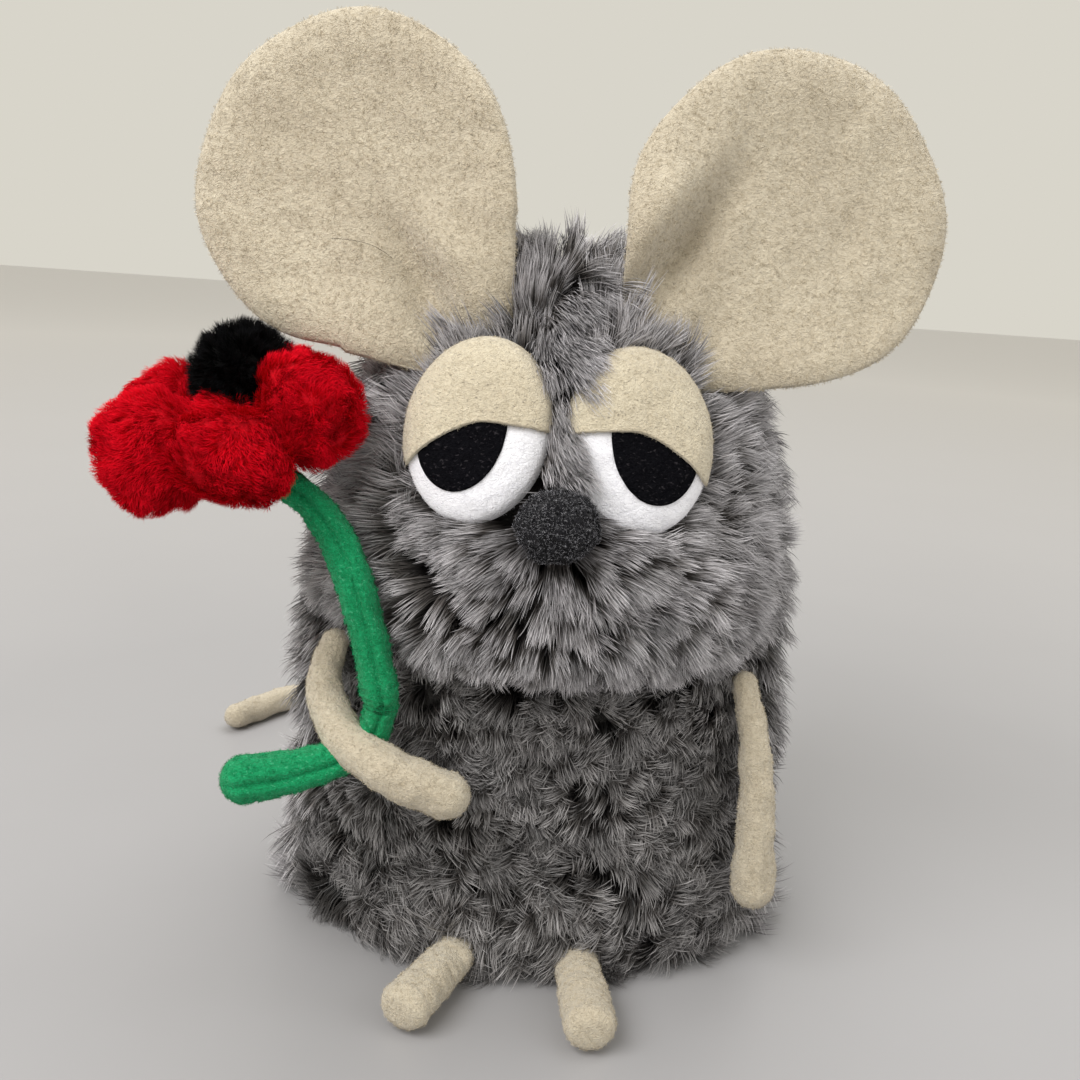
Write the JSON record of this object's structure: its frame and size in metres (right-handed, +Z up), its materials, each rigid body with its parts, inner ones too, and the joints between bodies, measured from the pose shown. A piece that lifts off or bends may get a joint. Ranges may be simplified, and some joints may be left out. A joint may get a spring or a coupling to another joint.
{
  "type": "clockwork plush mouse",
  "caption": "Stuffed toy mouse with large felt ears, heavy-lidded eyes and a felt flower, round a wind-up musical movement with its key in the back.",
  "frame": {"origin": "centre of the flat base, on the surface that the toy stands on", "axes": "+Z up, -Y the way the mouse faces, +X the mouse's own left"},
  "size_m": [0.2216, 0.2144, 0.2504],
  "materials": {
    "long_fur": "long-pile plush, silver tips",
    "curly_fur": "short matted curly plush",
    "cream_felt": "napped cream velour",
    "white_felt": "white felt",
    "black_felt": "black felt",
    "nose_wool": "boiled charcoal wool",
    "red_fleece": "fluffy red fleece",
    "black_pompom": "black pompom",
    "green_felt": "green felt",
    "stuffing": "polyester filling",
    "pellets": "cloth bag of pellets",
    "case_plastic": "moulded white plastic",
    "grommet_plastic": "moulded grey plastic",
    "fly_plastic": "moulded white plastic",
    "plate_brass": "brushed",
    "gear_brass": "machined",
    "key_steel": "nickel plated",
    "arbor_steel": "turned",
    "spring_steel": "blued"
  },
  "bodies": {
    "body": {"face_panel": "long_fur", "tummy_panel": "curly_fur", "back_panel": "long_fur", "base_panel": "long_fur", "head_stuffing": "stuffing", "body_stuffing": "stuffing", "pellet_bag": "pellets", "eye_white_right": "white_felt", "eye_white_left": "white_felt", "pupil_right": "black_felt", "pupil_left": "black_felt", "eyelid_right": "cream_felt", "eyelid_left": "cream_felt", "nose": "nose_wool", "arm_right": "cream_felt", "stem_lower": "green_felt", "key_grommet": "grommet_plastic", "case_front": "case_plastic", "case_back": "case_plastic", "case_screws": "arbor_steel", "front_plate": "plate_brass", "back_plate": "plate_brass", "plate_pillars": "arbor_steel", "spring_barrel": "arbor_steel", "mainspring": "spring_steel", "click": "arbor_steel", "comb": "arbor_steel", "comb_screws": "arbor_steel"},
    "winder": {"winding_key": "key_steel", "winding_arbor": "arbor_steel", "great_wheel": "gear_brass", "ratchet_wheel": "arbor_steel"},
    "cylinder": {"cylinder_arbor": "arbor_steel", "cylinder_pinion": "gear_brass", "cylinder_wheel": "gear_brass", "music_cylinder": "gear_brass"},
    "second": {"second_arbor": "arbor_steel", "second_pinion": "gear_brass", "second_wheel": "gear_brass"},
    "fly": {"fly_arbor": "arbor_steel", "fly_pinion": "gear_brass", "fly_vane": "fly_plastic"},
    "ear_right": {"ear_right": "cream_felt"},
    "ear_left": {"ear_left": "cream_felt"},
    "arm_left": {"arm_left": "cream_felt"},
    "foot_right": {"foot_right": "cream_felt"},
    "foot_left": {"foot_left": "cream_felt"},
    "tail": {"tail": "cream_felt"},
    "flower": {"flower_petals": "red_fleece", "flower_centre": "black_pompom", "stem_upper": "green_felt"}
  },
  "joints": [
    {"name": "key_turn", "type": "hinge", "parent": "body", "child": "winder", "pos_m": [0, 0.034, 0.072], "axis": [0, 1, 0], "continuous": true},
    {"name": "cylinder_turn", "type": "hinge", "parent": "body", "child": "cylinder", "pos_m": [0.009, 0.034, 0.05641], "axis": [0, 1, 0], "continuous": true},
    {"name": "second_turn", "type": "hinge", "parent": "body", "child": "second", "pos_m": [0.02082, 0.034, 0.05849], "axis": [0, 1, 0], "continuous": true},
    {"name": "fly_turn", "type": "hinge", "parent": "body", "child": "fly", "pos_m": [0.02229, 0.034, 0.06687], "axis": [0, 1, 0], "continuous": true},
    {"name": "ear_right_fold", "type": "hinge", "parent": "body", "child": "ear_right", "pos_m": [-0.024, -0.03, 0.171], "axis": [0.7547, 0, 0.6561], "range_deg": [-14, 22], "stiffness_Nm_per_rad": 0.12},
    {"name": "ear_left_fold", "type": "hinge", "parent": "body", "child": "ear_left", "pos_m": [0.024, -0.03, 0.171], "axis": [0.7547, 0, -0.6561], "range_deg": [-14, 34], "stiffness_Nm_per_rad": 0.12},
    {"name": "arm_left_swing", "type": "hinge", "parent": "body", "child": "arm_left", "pos_m": [0.0555, -0.033, 0.084], "axis": [0, -1, 0], "range_deg": [0, 115]},
    {"name": "foot_right_splay", "type": "hinge", "parent": "body", "child": "foot_right", "pos_m": [-0.0185, -0.0535, 0.0073], "axis": [0, 0, 1], "range_deg": [-22, 18]},
    {"name": "foot_left_splay", "type": "hinge", "parent": "body", "child": "foot_left", "pos_m": [0.015, -0.0545, 0.0073], "axis": [0, 0, 1], "range_deg": [-18, 22]},
    {"name": "tail_swing", "type": "hinge", "parent": "body", "child": "tail", "pos_m": [-0.006, 0.0525, 0.009], "axis": [0, 0, 1], "range_deg": [-25, 20]},
    {"name": "flower_sway", "type": "hinge", "parent": "body", "child": "flower", "pos_m": [-0.04, -0.059, 0.08], "axis": [0, -1, 0], "range_deg": [0, 16], "stiffness_Nm_per_rad": 0.25, "springref_deg": -3.44}
  ],
  "couplings": [
    {"joint": "cylinder_turn", "follows": "key_turn", "ratio": -5},
    {"joint": "second_turn", "follows": "key_turn", "ratio": 15},
    {"joint": "fly_turn", "follows": "key_turn", "ratio": -36}
  ]
}
